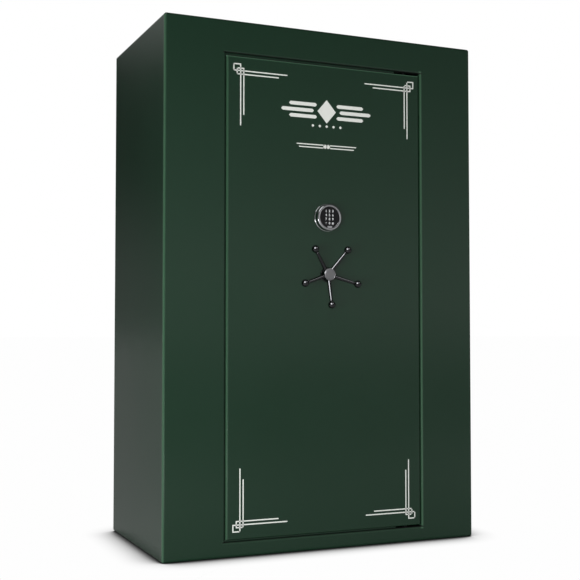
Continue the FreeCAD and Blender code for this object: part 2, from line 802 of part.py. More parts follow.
# ---- write the parts ----------------------------------------------------------------
def parts():
    made = {
        "body_wrap": body_wrap(),
        "back_panel": back_panel(),
        "front_frame": front_frame(),
        "door_stop": door_stop(),
        "jamb_seal": jamb_seal(),
        "fireboard_lining": fireboard_lining(),
        "liner_left": side_liner(-1),
        "liner_right": side_liner(1),
        "liner_back": back_liner(),
        "liner_ceiling": ceiling_liner(),
        "liner_floor": floor_liner(),
        "divider": divider(),
        "top_shelf": top_shelf(),
        "side_shelves": side_shelves(),
        "shelf_hardware": shelf_hardware(),
        "barrel_rack": barrel_rack(),
        "hinge_brackets": hinge_brackets(),
        "hinge_pins": hinge_pins(),
        "hinge_bearing": hinge_bearing(),
        "hinge_blocks": hinge_blocks(),
        "door_plate": door_plate(),
        "door_pan": door_pan(),
        "door_fireboard": door_fireboard(),
        "hard_plate": hard_plate(),
        "mechanism_plate": mechanism_plate(),
        "spindle_bushings": spindle_bushings(),
        "bar_glides": bar_glides(),
        "door_trim_panel": door_trim_panel(),
        "door_screws": door_screws(),
        "lock_case": lock_case(),
        "lock_bolt": lock_bolt(),
        "keypad_housing": keypad_housing(),
        "keypad_face": keypad_face(),
        "keypad_board": keypad_board(),
        "keypad_cable": keypad_cable(),
        "handle_hub": handle_hub(),
        "handle_spokes": handle_spokes(),
        "handle_knobs": handle_knobs(),
        "spindle": spindle(),
        "pinion": pinion(),
        "left_bolt_bar": left_bolt_bar(),
        "right_bolt_bar": right_bolt_bar(),
        "top_bolt_bar": top_bolt_bar(),
        "bottom_bolt_bar": bottom_bolt_bar(),
    }
    for side in bolt_places():
        made[side + "_bolts"] = bolts(side)
    for name, x, z in key_places():
        made["key_" + name] = key(x, z)
    return made


def main():
    os.makedirs("parts", exist_ok=True)
    for name, shape in parts().items():
        if not shape.isValid():
            print("not valid:", name)
        shape.exportStep(f"parts/{name}.step")
        box = shape.BoundBox
        print(f"{name:20s} solids {len(shape.Solids):3d}  volume {shape.Volume / 1e3:10.1f} cm3"
              f"  size {box.XLength:.1f} x {box.YLength:.1f} x {box.ZLength:.1f}")


main()
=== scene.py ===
import json
import math
import bmesh
import bpy
from mathutils import Matrix, Vector


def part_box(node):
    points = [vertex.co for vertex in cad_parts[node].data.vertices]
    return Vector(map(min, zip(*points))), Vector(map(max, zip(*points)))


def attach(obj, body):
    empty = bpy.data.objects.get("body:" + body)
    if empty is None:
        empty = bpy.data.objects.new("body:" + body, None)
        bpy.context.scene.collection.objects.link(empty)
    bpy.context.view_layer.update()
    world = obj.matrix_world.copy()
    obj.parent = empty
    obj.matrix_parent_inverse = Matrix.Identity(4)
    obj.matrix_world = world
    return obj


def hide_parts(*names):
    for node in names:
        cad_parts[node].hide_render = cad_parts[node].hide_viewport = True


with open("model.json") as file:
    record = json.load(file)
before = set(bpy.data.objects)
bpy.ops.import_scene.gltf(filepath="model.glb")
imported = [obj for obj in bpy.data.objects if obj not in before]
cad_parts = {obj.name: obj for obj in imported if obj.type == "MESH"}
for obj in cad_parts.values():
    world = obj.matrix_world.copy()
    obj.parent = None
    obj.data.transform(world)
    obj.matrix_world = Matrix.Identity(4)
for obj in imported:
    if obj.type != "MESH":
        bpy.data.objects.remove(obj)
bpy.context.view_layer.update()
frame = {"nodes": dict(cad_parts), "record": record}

nodes = frame["nodes"]
scene = bpy.context.scene
mm = 0.001
doorLow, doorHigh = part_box("door_plate")
doorFront = doorLow.y
keypadLow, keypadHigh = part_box("keypad_housing")
keypadMid = (keypadLow + keypadHigh) / 2
hubLow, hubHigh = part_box("handle_hub")
hubMid = (hubLow + hubHigh) / 2
print("frame loaded,", len(nodes), "nodes")


# modelling helpers

def clearSelection():
    if bpy.context.object and bpy.context.object.mode != "OBJECT":
        bpy.ops.object.mode_set(mode="OBJECT")
    bpy.ops.object.select_all(action="DESELECT")


def settle(piece):  # place and turn go into the mesh
    clearSelection()
    piece.select_set(True)
    bpy.context.view_layer.objects.active = piece
    bpy.ops.object.transform_apply(location=True, rotation=True, scale=True)


def editPiece(piece):
    settle(piece)
    bpy.ops.object.mode_set(mode="EDIT")
    bpy.ops.mesh.select_mode(type="FACE")


def pickFaces(test):
    mesh = bmesh.from_edit_mesh(bpy.context.object.data)
    for face in mesh.faces:
        face.select_set(bool(test(face.calc_center_median(), face.normal)))
    bmesh.update_edit_mesh(bpy.context.object.data)


def pickEdges(test):
    bpy.ops.mesh.select_mode(type="EDGE")
    mesh = bmesh.from_edit_mesh(bpy.context.object.data)
    for edge in mesh.edges:
        a, b = edge.verts
        edge.select_set(bool(test(a.co, b.co)))
    bmesh.update_edit_mesh(bpy.context.object.data)


def finishPiece(piece, body, material, smoothAngle=35, replaces=()):
    if piece.mode == "EDIT":
        bpy.ops.mesh.select_all(action="SELECT")
        bpy.ops.mesh.remove_doubles(threshold=0.000005)
        bpy.ops.mesh.normals_make_consistent(inside=False)
    settle(piece)
    bpy.ops.object.shade_smooth_by_angle(angle=math.radians(smoothAngle))
    if material:
        piece.data.materials.clear()
        piece.data.materials.append(material)
    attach(piece, body)
    if replaces:
        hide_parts(*replaces)
    return piece


def copyPiece(piece, name, move):
    twin = piece.copy()
    twin.data = piece.data.copy()
    twin.name = name
    twin.data.name = name
    scene.collection.objects.link(twin)
    twin.location = move
    settle(twin)
    return twin


def joinPieces(parts, name):
    clearSelection()
    for part in parts:
        part.select_set(True)
    bpy.context.view_layer.objects.active = parts[0]
    bpy.ops.object.join()
    parts[0].name = name
    return parts[0]


def turnedPiece(name, steps, at, toward, sides=72):
    # a disc extruded and scaled step by step; steps are (radius, height) along toward
    clearSelection()
    radius, height = steps[0]
    bpy.ops.mesh.primitive_circle_add(vertices=sides, radius=radius, fill_type="NGON",
                                      location=(0, 0, height))
    piece = bpy.context.object
    piece.name = name
    editPiece(piece)
    bpy.ops.mesh.select_all(action="SELECT")
    for nextRadius, nextHeight in steps[1:]:
        bpy.ops.mesh.extrude_region_move(
            TRANSFORM_OT_translate={"value": (0, 0, nextHeight - height)})
        grow = nextRadius / radius
        bpy.ops.transform.resize(value=(grow, grow, 1), center_override=(0, 0, nextHeight))
        radius, height = nextRadius, nextHeight
    bpy.ops.mesh.select_all(action="SELECT")
    bpy.ops.mesh.normals_make_consistent(inside=False)
    bpy.ops.object.mode_set(mode="OBJECT")
    turn = Vector(toward).to_track_quat("Z", "Y").to_matrix().to_4x4()
    piece.matrix_world = Matrix.Translation(Vector(at)) @ turn
    settle(piece)
    return piece


# shader helpers

def newMaterial(name):
    material = bpy.data.materials.new(name)
    material.use_nodes = True
    tree = material.node_tree
    shader = tree.nodes["Principled BSDF"]
    return material, tree, shader


def addNode(tree, kind, **values):
    node = tree.nodes.new(kind)
    for key, value in values.items():
        if hasattr(node, key):
            setattr(node, key, value)
        else:
            node.inputs[key.replace("_", " ")].default_value = value
    return node


def newGroup(name, inputs, outputs):
    tree = bpy.data.node_groups.new(name, "ShaderNodeTree")
    for socketName, kind, value in inputs:
        socket = tree.interface.new_socket(socketName, in_out="INPUT", socket_type=kind)
        if value is not None:
            socket.default_value = value
    for socketName, kind in outputs:
        tree.interface.new_socket(socketName, in_out="OUTPUT", socket_type=kind)
    return tree, tree.nodes.new("NodeGroupInput"), tree.nodes.new("NodeGroupOutput")


def groupNode(tree, group, **values):
    node = tree.nodes.new("ShaderNodeGroup")
    node.node_tree = group
    for key, value in values.items():
        node.inputs[key].default_value = value
    return node


floatSocket = "NodeSocketFloat"
vectorSocket = "NodeSocketVector"
colorSocket = "NodeSocketColor"


def makeSmudgeGroup():
    # broad uneven patches and fine specks, as handling and cleaning leave them
    tree, start, end = newGroup(
        "handledSurface",
        [("Vector", vectorSocket, None), ("PatchScale", floatSocket, 4.0),
         ("SpeckScale", floatSocket, 300.0)],
        [("Patches", floatSocket), ("Specks", floatSocket)])
    broad = addNode(tree, "ShaderNodeTexNoise", Detail=4.0, Roughness=0.55)
    fine = addNode(tree, "ShaderNodeTexNoise", Detail=2.0, Roughness=0.5)
    link = tree.links.new
    link(start.outputs["Vector"], broad.inputs["Vector"])
    link(start.outputs["Vector"], fine.inputs["Vector"])
    link(start.outputs["PatchScale"], broad.inputs["Scale"])
    link(start.outputs["SpeckScale"], fine.inputs["Scale"])
    link(broad.outputs["Fac"], end.inputs["Patches"])
    link(fine.outputs["Fac"], end.inputs["Specks"])
    return tree


def makeBrushGroup():
    # long scratches along one axis, for drawn, ground and brushed metal
    tree, start, end = newGroup(
        "brushedLines",
        [("Vector", vectorSocket, None), ("Stretch", vectorSocket, (1.0, 1.0, 0.02)),
         ("Scale", floatSocket, 900.0)],
        [("Lines", floatSocket)])
    link = tree.links.new
    squeeze = addNode(tree, "ShaderNodeVectorMath", operation="MULTIPLY")
    noise = addNode(tree, "ShaderNodeTexNoise", Detail=3.0, Roughness=0.6)
    link(start.outputs["Vector"], squeeze.inputs[0])
    link(start.outputs["Stretch"], squeeze.inputs[1])
    link(squeeze.outputs[0], noise.inputs["Vector"])
    link(start.outputs["Scale"], noise.inputs["Scale"])
    link(noise.outputs["Fac"], end.inputs["Lines"])
    return tree


def makePileGroup():
    # short cut pile: tufts, lean and a scatter of lighter fibres
    tree, start, end = newGroup(
        "carpetPile",
        [("Vector", vectorSocket, None), ("TuftScale", floatSocket, 620.0)],
        [("Height", floatSocket), ("Fibres", floatSocket), ("Lean", floatSocket)])
    link = tree.links.new
    tufts = addNode(tree, "ShaderNodeTexVoronoi", feature="SMOOTH_F1", Smoothness=0.6)
    fibres = addNode(tree, "ShaderNodeTexNoise", Scale=1600.0, Detail=3.0, Roughness=0.7)
    lean = addNode(tree, "ShaderNodeTexNoise", Scale=9.0, Detail=3.0, Roughness=0.6)
    blend = addNode(tree, "ShaderNodeMath", operation="MULTIPLY_ADD")
    blend.inputs[1].default_value = 0.5
    link(start.outputs["Vector"], tufts.inputs["Vector"])
    link(start.outputs["Vector"], fibres.inputs["Vector"])
    link(start.outputs["Vector"], lean.inputs["Vector"])
    link(start.outputs["TuftScale"], tufts.inputs["Scale"])
    link(fibres.outputs["Fac"], blend.inputs[0])
    link(tufts.outputs["Distance"], blend.inputs[2])
    link(blend.outputs[0], end.inputs["Height"])
    link(fibres.outputs["Fac"], end.inputs["Fibres"])
    link(lean.outputs["Fac"], end.inputs["Lean"])
    return tree


def makeRimGroup():
    # a mask along the sides of a box, close to its front; it lays painted highlights on rounded
    # edges and painted shade in the door gaps
    tree, start, end = newGroup(
        "rimLines",
        [("Vector", vectorSocket, None), ("Low", vectorSocket, None), ("High", vectorSocket, None),
         ("Width", floatSocket, 0.01), ("Depth", floatSocket, 0.01), ("Left", floatSocket, 1.0),
         ("Right", floatSocket, 1.0), ("Bottom", floatSocket, 1.0), ("Top", floatSocket, 1.0)],
        [("Rim", floatSocket)])
    link = tree.links.new

    def measure(first, second):
        gap = addNode(tree, "ShaderNodeVectorMath", operation="SUBTRACT")
        apart = addNode(tree, "ShaderNodeVectorMath", operation="ABSOLUTE")
        split = addNode(tree, "ShaderNodeSeparateXYZ")
        link(start.outputs[first], gap.inputs[0])
        link(start.outputs[second], gap.inputs[1])
        link(gap.outputs[0], apart.inputs[0])
        link(apart.outputs[0], split.inputs[0])
        return gap, split

    def fade(distance, width, strength):
        near = addNode(tree, "ShaderNodeMapRange", interpolation_type="SMOOTHSTEP")
        link(distance, near.inputs["Value"])
        link(start.outputs[width], near.inputs["From Max"])
        near.inputs["To Min"].default_value = 1.0
        near.inputs["To Max"].default_value = 0.0
        if not strength:
            return near.outputs["Result"]
        scaled = addNode(tree, "ShaderNodeMath", operation="MULTIPLY")
        link(near.outputs["Result"], scaled.inputs[0])
        link(start.outputs[strength], scaled.inputs[1])
        return scaled.outputs[0]

    lowGap, fromLow = measure("Vector", "Low")
    highGap, fromHigh = measure("High", "Vector")
    rim = fade(fromLow.outputs["X"], "Width", "Left")
    for distance, strength in ((fromHigh.outputs["X"], "Right"), (fromLow.outputs["Z"], "Bottom"),
                               (fromHigh.outputs["Z"], "Top")):
        larger = addNode(tree, "ShaderNodeMath", operation="MAXIMUM")
        link(rim, larger.inputs[0])
        link(fade(distance, "Width", strength), larger.inputs[1])
        rim = larger.outputs[0]
    # nothing beyond the box, so that its sides don't run on past its corners
    fadeFrom, fadeTo = -9 * mm, -6 * mm
    least = addNode(tree, "ShaderNodeVectorMath", operation="MINIMUM")
    sides = addNode(tree, "ShaderNodeSeparateXYZ")
    inner = addNode(tree, "ShaderNodeMath", operation="MINIMUM")
    beyond = addNode(tree, "ShaderNodeMapRange")
    link(lowGap.outputs[0], least.inputs[0])
    link(highGap.outputs[0], least.inputs[1])
    link(least.outputs[0], sides.inputs[0])
    link(sides.outputs["X"], inner.inputs[0])
    link(sides.outputs["Z"], inner.inputs[1])
    link(inner.outputs[0], beyond.inputs["Value"])
    beyond.inputs["From Min"].default_value = fadeFrom
    beyond.inputs["From Max"].default_value = fadeTo
    front = addNode(tree, "ShaderNodeMath", operation="MULTIPLY")
    boxed = addNode(tree, "ShaderNodeMath", operation="MULTIPLY")
    link(rim, boxed.inputs[0])
    link(beyond.outputs["Result"], boxed.inputs[1])
    link(boxed.outputs[0], front.inputs[0])
    link(fade(fromLow.outputs["Y"], "Depth", None), front.inputs[1])
    link(front.outputs[0], end.inputs["Rim"])
    return tree


handledSurface = makeSmudgeGroup()
brushedLines = makeBrushGroup()
carpetPile = makePileGroup()
rimLines = makeRimGroup()


def ramp(tree, source, low, high, fromLow=0.3, fromHigh=0.7):
    # remaps a mask to a value range
    node = addNode(tree, "ShaderNodeMapRange")
    node.inputs["From Min"].default_value = fromLow
    node.inputs["From Max"].default_value = fromHigh
    node.inputs["To Min"].default_value = low
    node.inputs["To Max"].default_value = high
    tree.links.new(source, node.inputs["Value"])
    return node.outputs["Result"]


def mixColor(tree, mask, first, second):
    node = addNode(tree, "ShaderNodeMix", data_type="RGBA")
    node.inputs[6].default_value = (*first, 1)
    node.inputs[7].default_value = (*second, 1)
    tree.links.new(mask, node.inputs[0])
    return node.outputs[2]


def addBump(tree, shader, height, strength, distance):
    bump = addNode(tree, "ShaderNodeBump", Strength=strength, Distance=distance)
    tree.links.new(height, bump.inputs["Height"])
    tree.links.new(bump.outputs["Normal"], shader.inputs["Normal"])


def makeEnamel(name, rims=(), shadedOpening=None):
    # rims are boxes along whose edges a lighter green is laid as a painted highlight, with a
    # strength for four sides; the opening given last has its head and sill painted near black and
    # matt as painted shade
    # two lighter greens for painted highlights on rounded edges, and a near-black for painted shade
    # in the door gaps, made matt by its roughness
    paint = {"deep": (0.0036, 0.0191, 0.0087), "light": (0.0048, 0.0230, 0.0109),
             "thin": (0.047, 0.105, 0.062), "worn": (0.15, 0.30, 0.20), "rimDepth": 26 * mm,
             "primer": (0.0016, 0.0020, 0.0017), "primerWidth": 4 * mm, "primerDepth": 200 * mm,
             "roughness": (0.18, 0.24), "primerRoughness": 0.9, "refraction": 1.5,
             "patchScale": 2.2, "peelScale": 260.0, "peel": 0.05, "peelDepth": 0.6 * mm}
    material, tree, shader = newMaterial(name)
    coords = addNode(tree, "ShaderNodeTexCoord")
    smudge = groupNode(tree, handledSurface, PatchScale=paint["patchScale"],
                       SpeckScale=paint["peelScale"])
    tree.links.new(coords.outputs["Object"], smudge.inputs["Vector"])
    patches, specks = smudge.outputs["Patches"], smudge.outputs["Specks"]
    color = mixColor(tree, patches, paint["deep"], paint["light"])
    roughness = ramp(tree, patches, *paint["roughness"])

    def tint(below, low, high, width, depth, sides, over):
        # lays one colour over another along a rim, and gives the mask too
        rim = groupNode(tree, rimLines, Low=low, High=high, Width=width, Depth=depth, **sides)
        tree.links.new(coords.outputs["Object"], rim.inputs["Vector"])
        mix = addNode(tree, "ShaderNodeMix", data_type="RGBA")
        mix.inputs[7].default_value = (*over, 1)
        tree.links.new(rim.outputs["Rim"], mix.inputs[0])
        tree.links.new(below, mix.inputs[6])
        return mix.outputs[2], rim.outputs["Rim"]

    # painted highlights along the edges of each rim box
    for low, high, width, over, sides in rims:
        color = tint(color, low, high, width, paint["rimDepth"], sides, paint[over])[0]
    # painted shade: the head and sill of the door opening painted near black and matt
    if shadedOpening:
        color, gapShadeMask = tint(color, *shadedOpening, paint["primerWidth"], paint["primerDepth"],
                            {"Left": 0.0, "Right": 0.0, "Bottom": 1.0, "Top": 1.0},
                            paint["primer"])
        matt = addNode(tree, "ShaderNodeMix", data_type="FLOAT")
        matt.inputs[3].default_value = paint["primerRoughness"]
        tree.links.new(gapShadeMask, matt.inputs[0])
        tree.links.new(roughness, matt.inputs[2])
        roughness = matt.outputs[0]
    tree.links.new(color, shader.inputs["Base Color"])
    tree.links.new(roughness, shader.inputs["Roughness"])
    shader.inputs["IOR"].default_value = paint["refraction"]
    addBump(tree, shader, specks, paint["peel"], paint["peelDepth"])
    return material


def makeInk():
    film = {"bright": (0.72, 0.73, 0.70), "worn": (0.52, 0.54, 0.50),
            "roughness": (0.42, 0.60), "patchScale": 60.0, "speckScale": 1400.0,
            "grain": 0.15, "grainDepth": 0.2 * mm}
    material, tree, shader = newMaterial("screenedInk")
    coords = addNode(tree, "ShaderNodeTexCoord")
    smudge = groupNode(tree, handledSurface, PatchScale=film["patchScale"],
                       SpeckScale=film["speckScale"])
    tree.links.new(coords.outputs["Object"], smudge.inputs["Vector"])
    tree.links.new(mixColor(tree, smudge.outputs["Specks"], film["worn"], film["bright"]),
                   shader.inputs["Base Color"])
    tree.links.new(ramp(tree, smudge.outputs["Patches"], *film["roughness"]),
                   shader.inputs["Roughness"])
    addBump(tree, shader, smudge.outputs["Specks"], film["grain"], film["grainDepth"])
    return material


grainDepth = 0.3 * mm  # of brushed lines and moulded grain


def makeMetal(name, dark, light, roughness, stretch, scale=900.0, bump=0.04, patchScale=14.0):
    # plated or ground metal: fine lines, faint patches in the gloss
    material, tree, shader = newMaterial(name)
    coords = addNode(tree, "ShaderNodeTexCoord")
    lines = groupNode(tree, brushedLines, Stretch=stretch, Scale=scale)
    smudge = groupNode(tree, handledSurface, PatchScale=patchScale, SpeckScale=700.0)
    tree.links.new(coords.outputs["Object"], lines.inputs["Vector"])
    tree.links.new(coords.outputs["Object"], smudge.inputs["Vector"])
    tree.links.new(mixColor(tree, lines.outputs["Lines"], dark, light),
                   shader.inputs["Base Color"])
    tree.links.new(ramp(tree, smudge.outputs["Patches"], *roughness), shader.inputs["Roughness"])
    shader.inputs["Metallic"].default_value = 1.0
    addBump(tree, shader, lines.outputs["Lines"], bump, grainDepth)
    return material


def makeMoulded(name, dark, light, roughness, grain=0.08, grainScale=900.0, gloss=0.5):
    # moulded plastic and rubber with a fine spark-eroded grain
    material, tree, shader = newMaterial(name)
    shader.inputs["Specular IOR Level"].default_value = gloss
    coords = addNode(tree, "ShaderNodeTexCoord")
    smudge = groupNode(tree, handledSurface, PatchScale=25.0, SpeckScale=grainScale)
    tree.links.new(coords.outputs["Object"], smudge.inputs["Vector"])
    tree.links.new(mixColor(tree, smudge.outputs["Patches"], dark, light),
                   shader.inputs["Base Color"])
    tree.links.new(ramp(tree, smudge.outputs["Specks"], *roughness), shader.inputs["Roughness"])
    addBump(tree, shader, smudge.outputs["Specks"], grain, grainDepth)
    return material


def makeCarpet():
    yarn = {"deep": (0.030, 0.029, 0.028), "tip": (0.115, 0.110, 0.104), "lean": (0.82, 1.12),
            "tuftScale": 520.0, "roughness": 0.95, "sheen": 0.35, "sheenRoughness": 0.5,
            "relief": 0.7, "pileDepth": 1.5 * mm}
    material, tree, shader = newMaterial("greyCarpet")
    coords = addNode(tree, "ShaderNodeTexCoord")
    pile = groupNode(tree, carpetPile, TuftScale=yarn["tuftScale"])
    tree.links.new(coords.outputs["Object"], pile.inputs["Vector"])
    color = mixColor(tree, pile.outputs["Fibres"], yarn["deep"], yarn["tip"])
    shade = addNode(tree, "ShaderNodeHueSaturation")
    tree.links.new(color, shade.inputs["Color"])
    tree.links.new(ramp(tree, pile.outputs["Lean"], *yarn["lean"]), shade.inputs["Value"])
    tree.links.new(shade.outputs["Color"], shader.inputs["Base Color"])
    shader.inputs["Roughness"].default_value = yarn["roughness"]
    shader.inputs["Sheen Weight"].default_value = yarn["sheen"]
    shader.inputs["Sheen Roughness"].default_value = yarn["sheenRoughness"]
    addBump(tree, shader, pile.outputs["Height"], yarn["relief"], yarn["pileDepth"])
    return material


def makeGypsum():
    board = {"paper": (0.46, 0.36, 0.36), "fibre": (0.60, 0.49, 0.48),
             "roughness": (0.80, 0.95), "patchScale": 18.0, "speckScale": 420.0,
             "grain": 0.25, "grainDepth": 0.4 * mm}
    material, tree, shader = newMaterial("gypsumBoard")
    coords = addNode(tree, "ShaderNodeTexCoord")
    smudge = groupNode(tree, handledSurface, PatchScale=board["patchScale"],
                       SpeckScale=board["speckScale"])
    tree.links.new(coords.outputs["Object"], smudge.inputs["Vector"])
    tree.links.new(mixColor(tree, smudge.outputs["Specks"], board["paper"], board["fibre"]),
                   shader.inputs["Base Color"])
    tree.links.new(ramp(tree, smudge.outputs["Patches"], *board["roughness"]),
                   shader.inputs["Roughness"])
    addBump(tree, shader, smudge.outputs["Specks"], board["grain"], board["grainDepth"])
    return material


frameLow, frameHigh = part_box("front_frame")
doorGap = 6 * mm  # left, right and below; the gap above is wider
doorGapTop = 10 * mm
openLow = Vector((doorLow.x - doorGap, doorLow.y, doorLow.z - doorGap))
openHigh = Vector((doorHigh.x + doorGap, doorHigh.y, doorHigh.z + doorGapTop))
enamel = makeEnamel("greenEnamel")
# each rim: low and high corner of its box, width, colour, and strength by side; the colour is a
# painted highlight along the rounded edges
frameRims = [
    (frameLow, frameHigh, 8 * mm, "thin", {"Left": 0.8, "Right": 0.0, "Bottom": 0.0, "Top": 0.0}),
    (openLow, openHigh, 9 * mm, "thin", {"Left": 0.0, "Right": 0.8, "Bottom": 0.2, "Top": 0.0}),
]
doorRims = [
    (doorLow, doorHigh, 9 * mm, "thin", {"Left": 0.62, "Right": 0.1, "Bottom": 0.2, "Top": 0.7}),
    (doorLow, doorHigh, 5 * mm, "worn", {"Left": 0.0, "Right": 0.0, "Bottom": 0.0, "Top": 0.9}),
]
# the frame's door opening gets painted shade on its head and sill
frameEnamel = makeEnamel("frameEnamel", frameRims, shadedOpening=(openLow, openHigh))
doorEnamel = makeEnamel("doorEnamel", doorRims)
ink = makeInk()
chrome = makeMetal("satinChrome", (0.50, 0.50, 0.52), (0.60, 0.60, 0.62), (0.10, 0.18),
                   (1.0, 0.05, 1.0), scale=700.0, bump=0.02)
smokedNickel = makeMetal("blackNickel", (0.052, 0.052, 0.055), (0.070, 0.070, 0.074),
                         (0.09, 0.15), (1.0, 0.1, 1.0), scale=500.0, bump=0.02)
satinNickel = makeMetal("satinNickel", (0.20, 0.20, 0.208), (0.27, 0.27, 0.28), (0.30, 0.40),
                        (0.05, 1.0, 1.0), scale=900.0, bump=0.03)
zincSteel = makeMetal("zincSteel", (0.42, 0.43, 0.44), (0.60, 0.61, 0.61), (0.32, 0.5),
                      (0.05, 1.0, 1.0), scale=260.0, bump=0.08, patchScale=30.0)
blackOxide = makeMetal("blackOxide", (0.020, 0.020, 0.021), (0.045, 0.045, 0.047), (0.3, 0.45),
                       (1.0, 1.0, 0.05), scale=700.0, bump=0.04)
groundSteel = makeMetal("groundSteel", (0.48, 0.48, 0.49), (0.62, 0.62, 0.63), (0.2, 0.34),
                        (1.0, 1.0, 0.03), scale=800.0, bump=0.05)
turnedBrass = makeMetal("turnedBrass", (0.52, 0.36, 0.15), (0.70, 0.52, 0.25), (0.18, 0.3),
                        (1.0, 1.0, 1.0), scale=600.0, bump=0.05)
blackGloss = makeMoulded("glossBlackFace", (0.004, 0.004, 0.0045), (0.008, 0.008, 0.009),
                         (0.16, 0.24), grain=0.03, grainScale=1500.0, gloss=0.2)
keyRubber = makeMoulded("keyRubber", (0.006, 0.006, 0.0065), (0.011, 0.011, 0.012), (0.42, 0.6),
                        gloss=0.25)
legendInk = makeMoulded("legendInk", (0.46, 0.47, 0.48), (0.58, 0.59, 0.60), (0.4, 0.55))
sealFoam = makeMoulded("sealStrip", (0.010, 0.010, 0.010), (0.022, 0.021, 0.020), (0.75, 0.95),
                       grain=0.5, grainScale=600.0)
glidePlastic = makeMoulded("glidePlastic", (0.62, 0.60, 0.54), (0.72, 0.70, 0.64), (0.35, 0.5))
boardGreen = makeMoulded("circuitBoard", (0.012, 0.055, 0.022), (0.02, 0.08, 0.03), (0.3, 0.45))
cableSheath = makeMoulded("cableSheath", (0.012, 0.012, 0.012), (0.02, 0.02, 0.02), (0.45, 0.6))
carpet = makeCarpet()
gypsum = makeGypsum()
print("materials made")

finishOfSlot = {
    "green_paint": enamel, "zinc_steel": zincSteel, "bright_steel": groundSteel,
    "black_oxide": blackOxide, "chrome": chrome, "black_nickel": smokedNickel,
    "fireboard": gypsum, "carpet_board": carpet, "seal": sealFoam, "brass": turnedBrass,
    "slide_plastic": glidePlastic, "gloss_black": blackGloss, "circuit_board": boardGreen,
    "cable_sheath": cableSheath, "key_rubber": keyRubber,
}
finishOfNode = {"front_frame": frameEnamel, "door_plate": doorEnamel}
for part in frame["record"]["subparts"]:
    node = nodes[part["node"]]
    finish = finishOfNode.get(part["node"], finishOfSlot[part["material_slot"]])
    if not node.material_slots:
        node.data.materials.append(finish)
    for materialSlot in node.material_slots:
        materialSlot.material = finish


# printed lines on the door

art = {
    "line": 4.0 * mm, "round": 1.2 * mm, "lift": 0.35 * mm,
    # distances from the door's edges: square corner, opposite corner, line ends
    "outer": ((25 * mm, 27 * mm), (50 * mm, 49.5 * mm), 225 * mm, 239 * mm),
    "inner": ((37 * mm, 41 * mm), (61.5 * mm, 61.5 * mm), 192 * mm, 202 * mm),
}


def isDeep(a, b):  # an edge that runs along Y, straight out of the door
    return abs(a.x - b.x) < 1e-6 and abs(a.z - b.z) < 1e-6


def raiseInk(outline):
    editPiece(outline)
    bpy.ops.mesh.select_all(action="SELECT")
    bpy.ops.mesh.extrude_region_move(TRANSFORM_OT_translate={"value": (0, -art["lift"], 0)})


def inkBox(name, x0, x1, z0, z1, corner=art["round"], steps=3):
    # a flat ink stroke between two corners; with one step its corners are cut straight
    clearSelection()
    bpy.ops.mesh.primitive_plane_add(size=1, rotation=(math.radians(90), 0, 0),
                                     location=((x0 + x1) / 2, doorFront, (z0 + z1) / 2))
    stroke = bpy.context.object
    stroke.name = name
    stroke.scale = (abs(x1 - x0), abs(z1 - z0), 1)
    raiseInk(stroke)
    pickEdges(isDeep)
    bpy.ops.mesh.bevel(offset=corner, segments=steps, affect="EDGES")
    bpy.ops.object.mode_set(mode="OBJECT")
    return stroke


def inkLozenge(x, z, halfWidth, halfHeight):
    clearSelection()
    bpy.ops.mesh.primitive_circle_add(vertices=4, radius=1, fill_type="NGON",
                                      rotation=(math.radians(90), 0, 0),
                                      location=(x, doorFront, z))
    lozenge = bpy.context.object
    lozenge.scale = (halfWidth, halfHeight, 1)
    raiseInk(lozenge)
    bpy.ops.object.mode_set(mode="OBJECT")
    return lozenge


def cornerStrokes(squareCorner, squareEnd, lineX, lineZ, label):
    # one square whose two inner sides run on as the long lines
    w = art["line"] / 2
    (x0, z0), (x1, z1) = squareCorner, squareEnd
    return [
        inkBox(label + "outer", x0 - w, x0 + w, z0 + w, z1 - w),
        inkBox(label + "upper", x0 - w, x1 + w, z0 - w, z0 + w),
        inkBox(label + "down", x1 - w, x1 + w, z0 - w, lineZ),
        inkBox(label + "across", x0 - w, lineX, z1 - w, z1 + w),
    ]


def makeCornerArt(signX, signZ):
    def place(x, z):
        edgeX = doorHigh.x if signX > 0 else doorLow.x
        edgeZ = doorHigh.z if signZ > 0 else doorLow.z
        return edgeX - signX * x, edgeZ - signZ * z

    strokes = []
    for label in ("outer", "inner"):
        squareCorner, squareEnd, across, down = art[label]
        strokes += cornerStrokes(place(*squareCorner), place(*squareEnd),
                                 *place(across, down), label)
    corner = joinPieces(strokes, "corner_lines_%s_%s" % (
        "top" if signZ > 0 else "bottom", "right" if signX > 0 else "left"))
    editPiece(corner)
    finishPiece(corner, "door", ink, smoothAngle=30)


for signX in (-1, 1):
    for signZ in (-1, 1):
        makeCornerArt(signX, signZ)
print("corner lines drawn")


def makeCrest():
    # a lozenge between two wings of three bars, over a row of dots; depths are from the door's top
    crest = {"down": 165 * mm, "reach": 176 * mm, "reachStep": 30 * mm, "gap": 50 * mm,
             "gapStep": 12 * mm, "bar": 12.5 * mm, "barCut": 0.495, "pitch": 21.5 * mm,
             "lozenge": (36 * mm, 42 * mm), "dotDown": 218 * mm, "dotPitch": 27 * mm,
             "dot": 5.5 * mm}
    middle = doorHigh.z - crest["down"]
    half = crest["bar"] / 2
    strokes = []
    for side in (-1, 1):
        for row in (-1, 0, 1):
            x0, x1 = sorted((side * (crest["gap"] - abs(row) * crest["gapStep"]),
                             side * (crest["reach"] - abs(row) * crest["reachStep"])))
            z = middle + row * crest["pitch"]
            strokes.append(inkBox("bar", x0, x1, z - half, z + half,
                                  corner=crest["bar"] * crest["barCut"], steps=1))
    strokes.append(inkLozenge(0, middle, *crest["lozenge"]))
    for step in (-2, -1, 0, 1, 2):
        strokes.append(inkLozenge(step * crest["dotPitch"], doorHigh.z - crest["dotDown"],
                                  crest["dot"], crest["dot"]))
    piece = joinPieces(strokes, "door_crest")
    editPiece(piece)
    finishPiece(piece, "door", ink, smoothAngle=20)


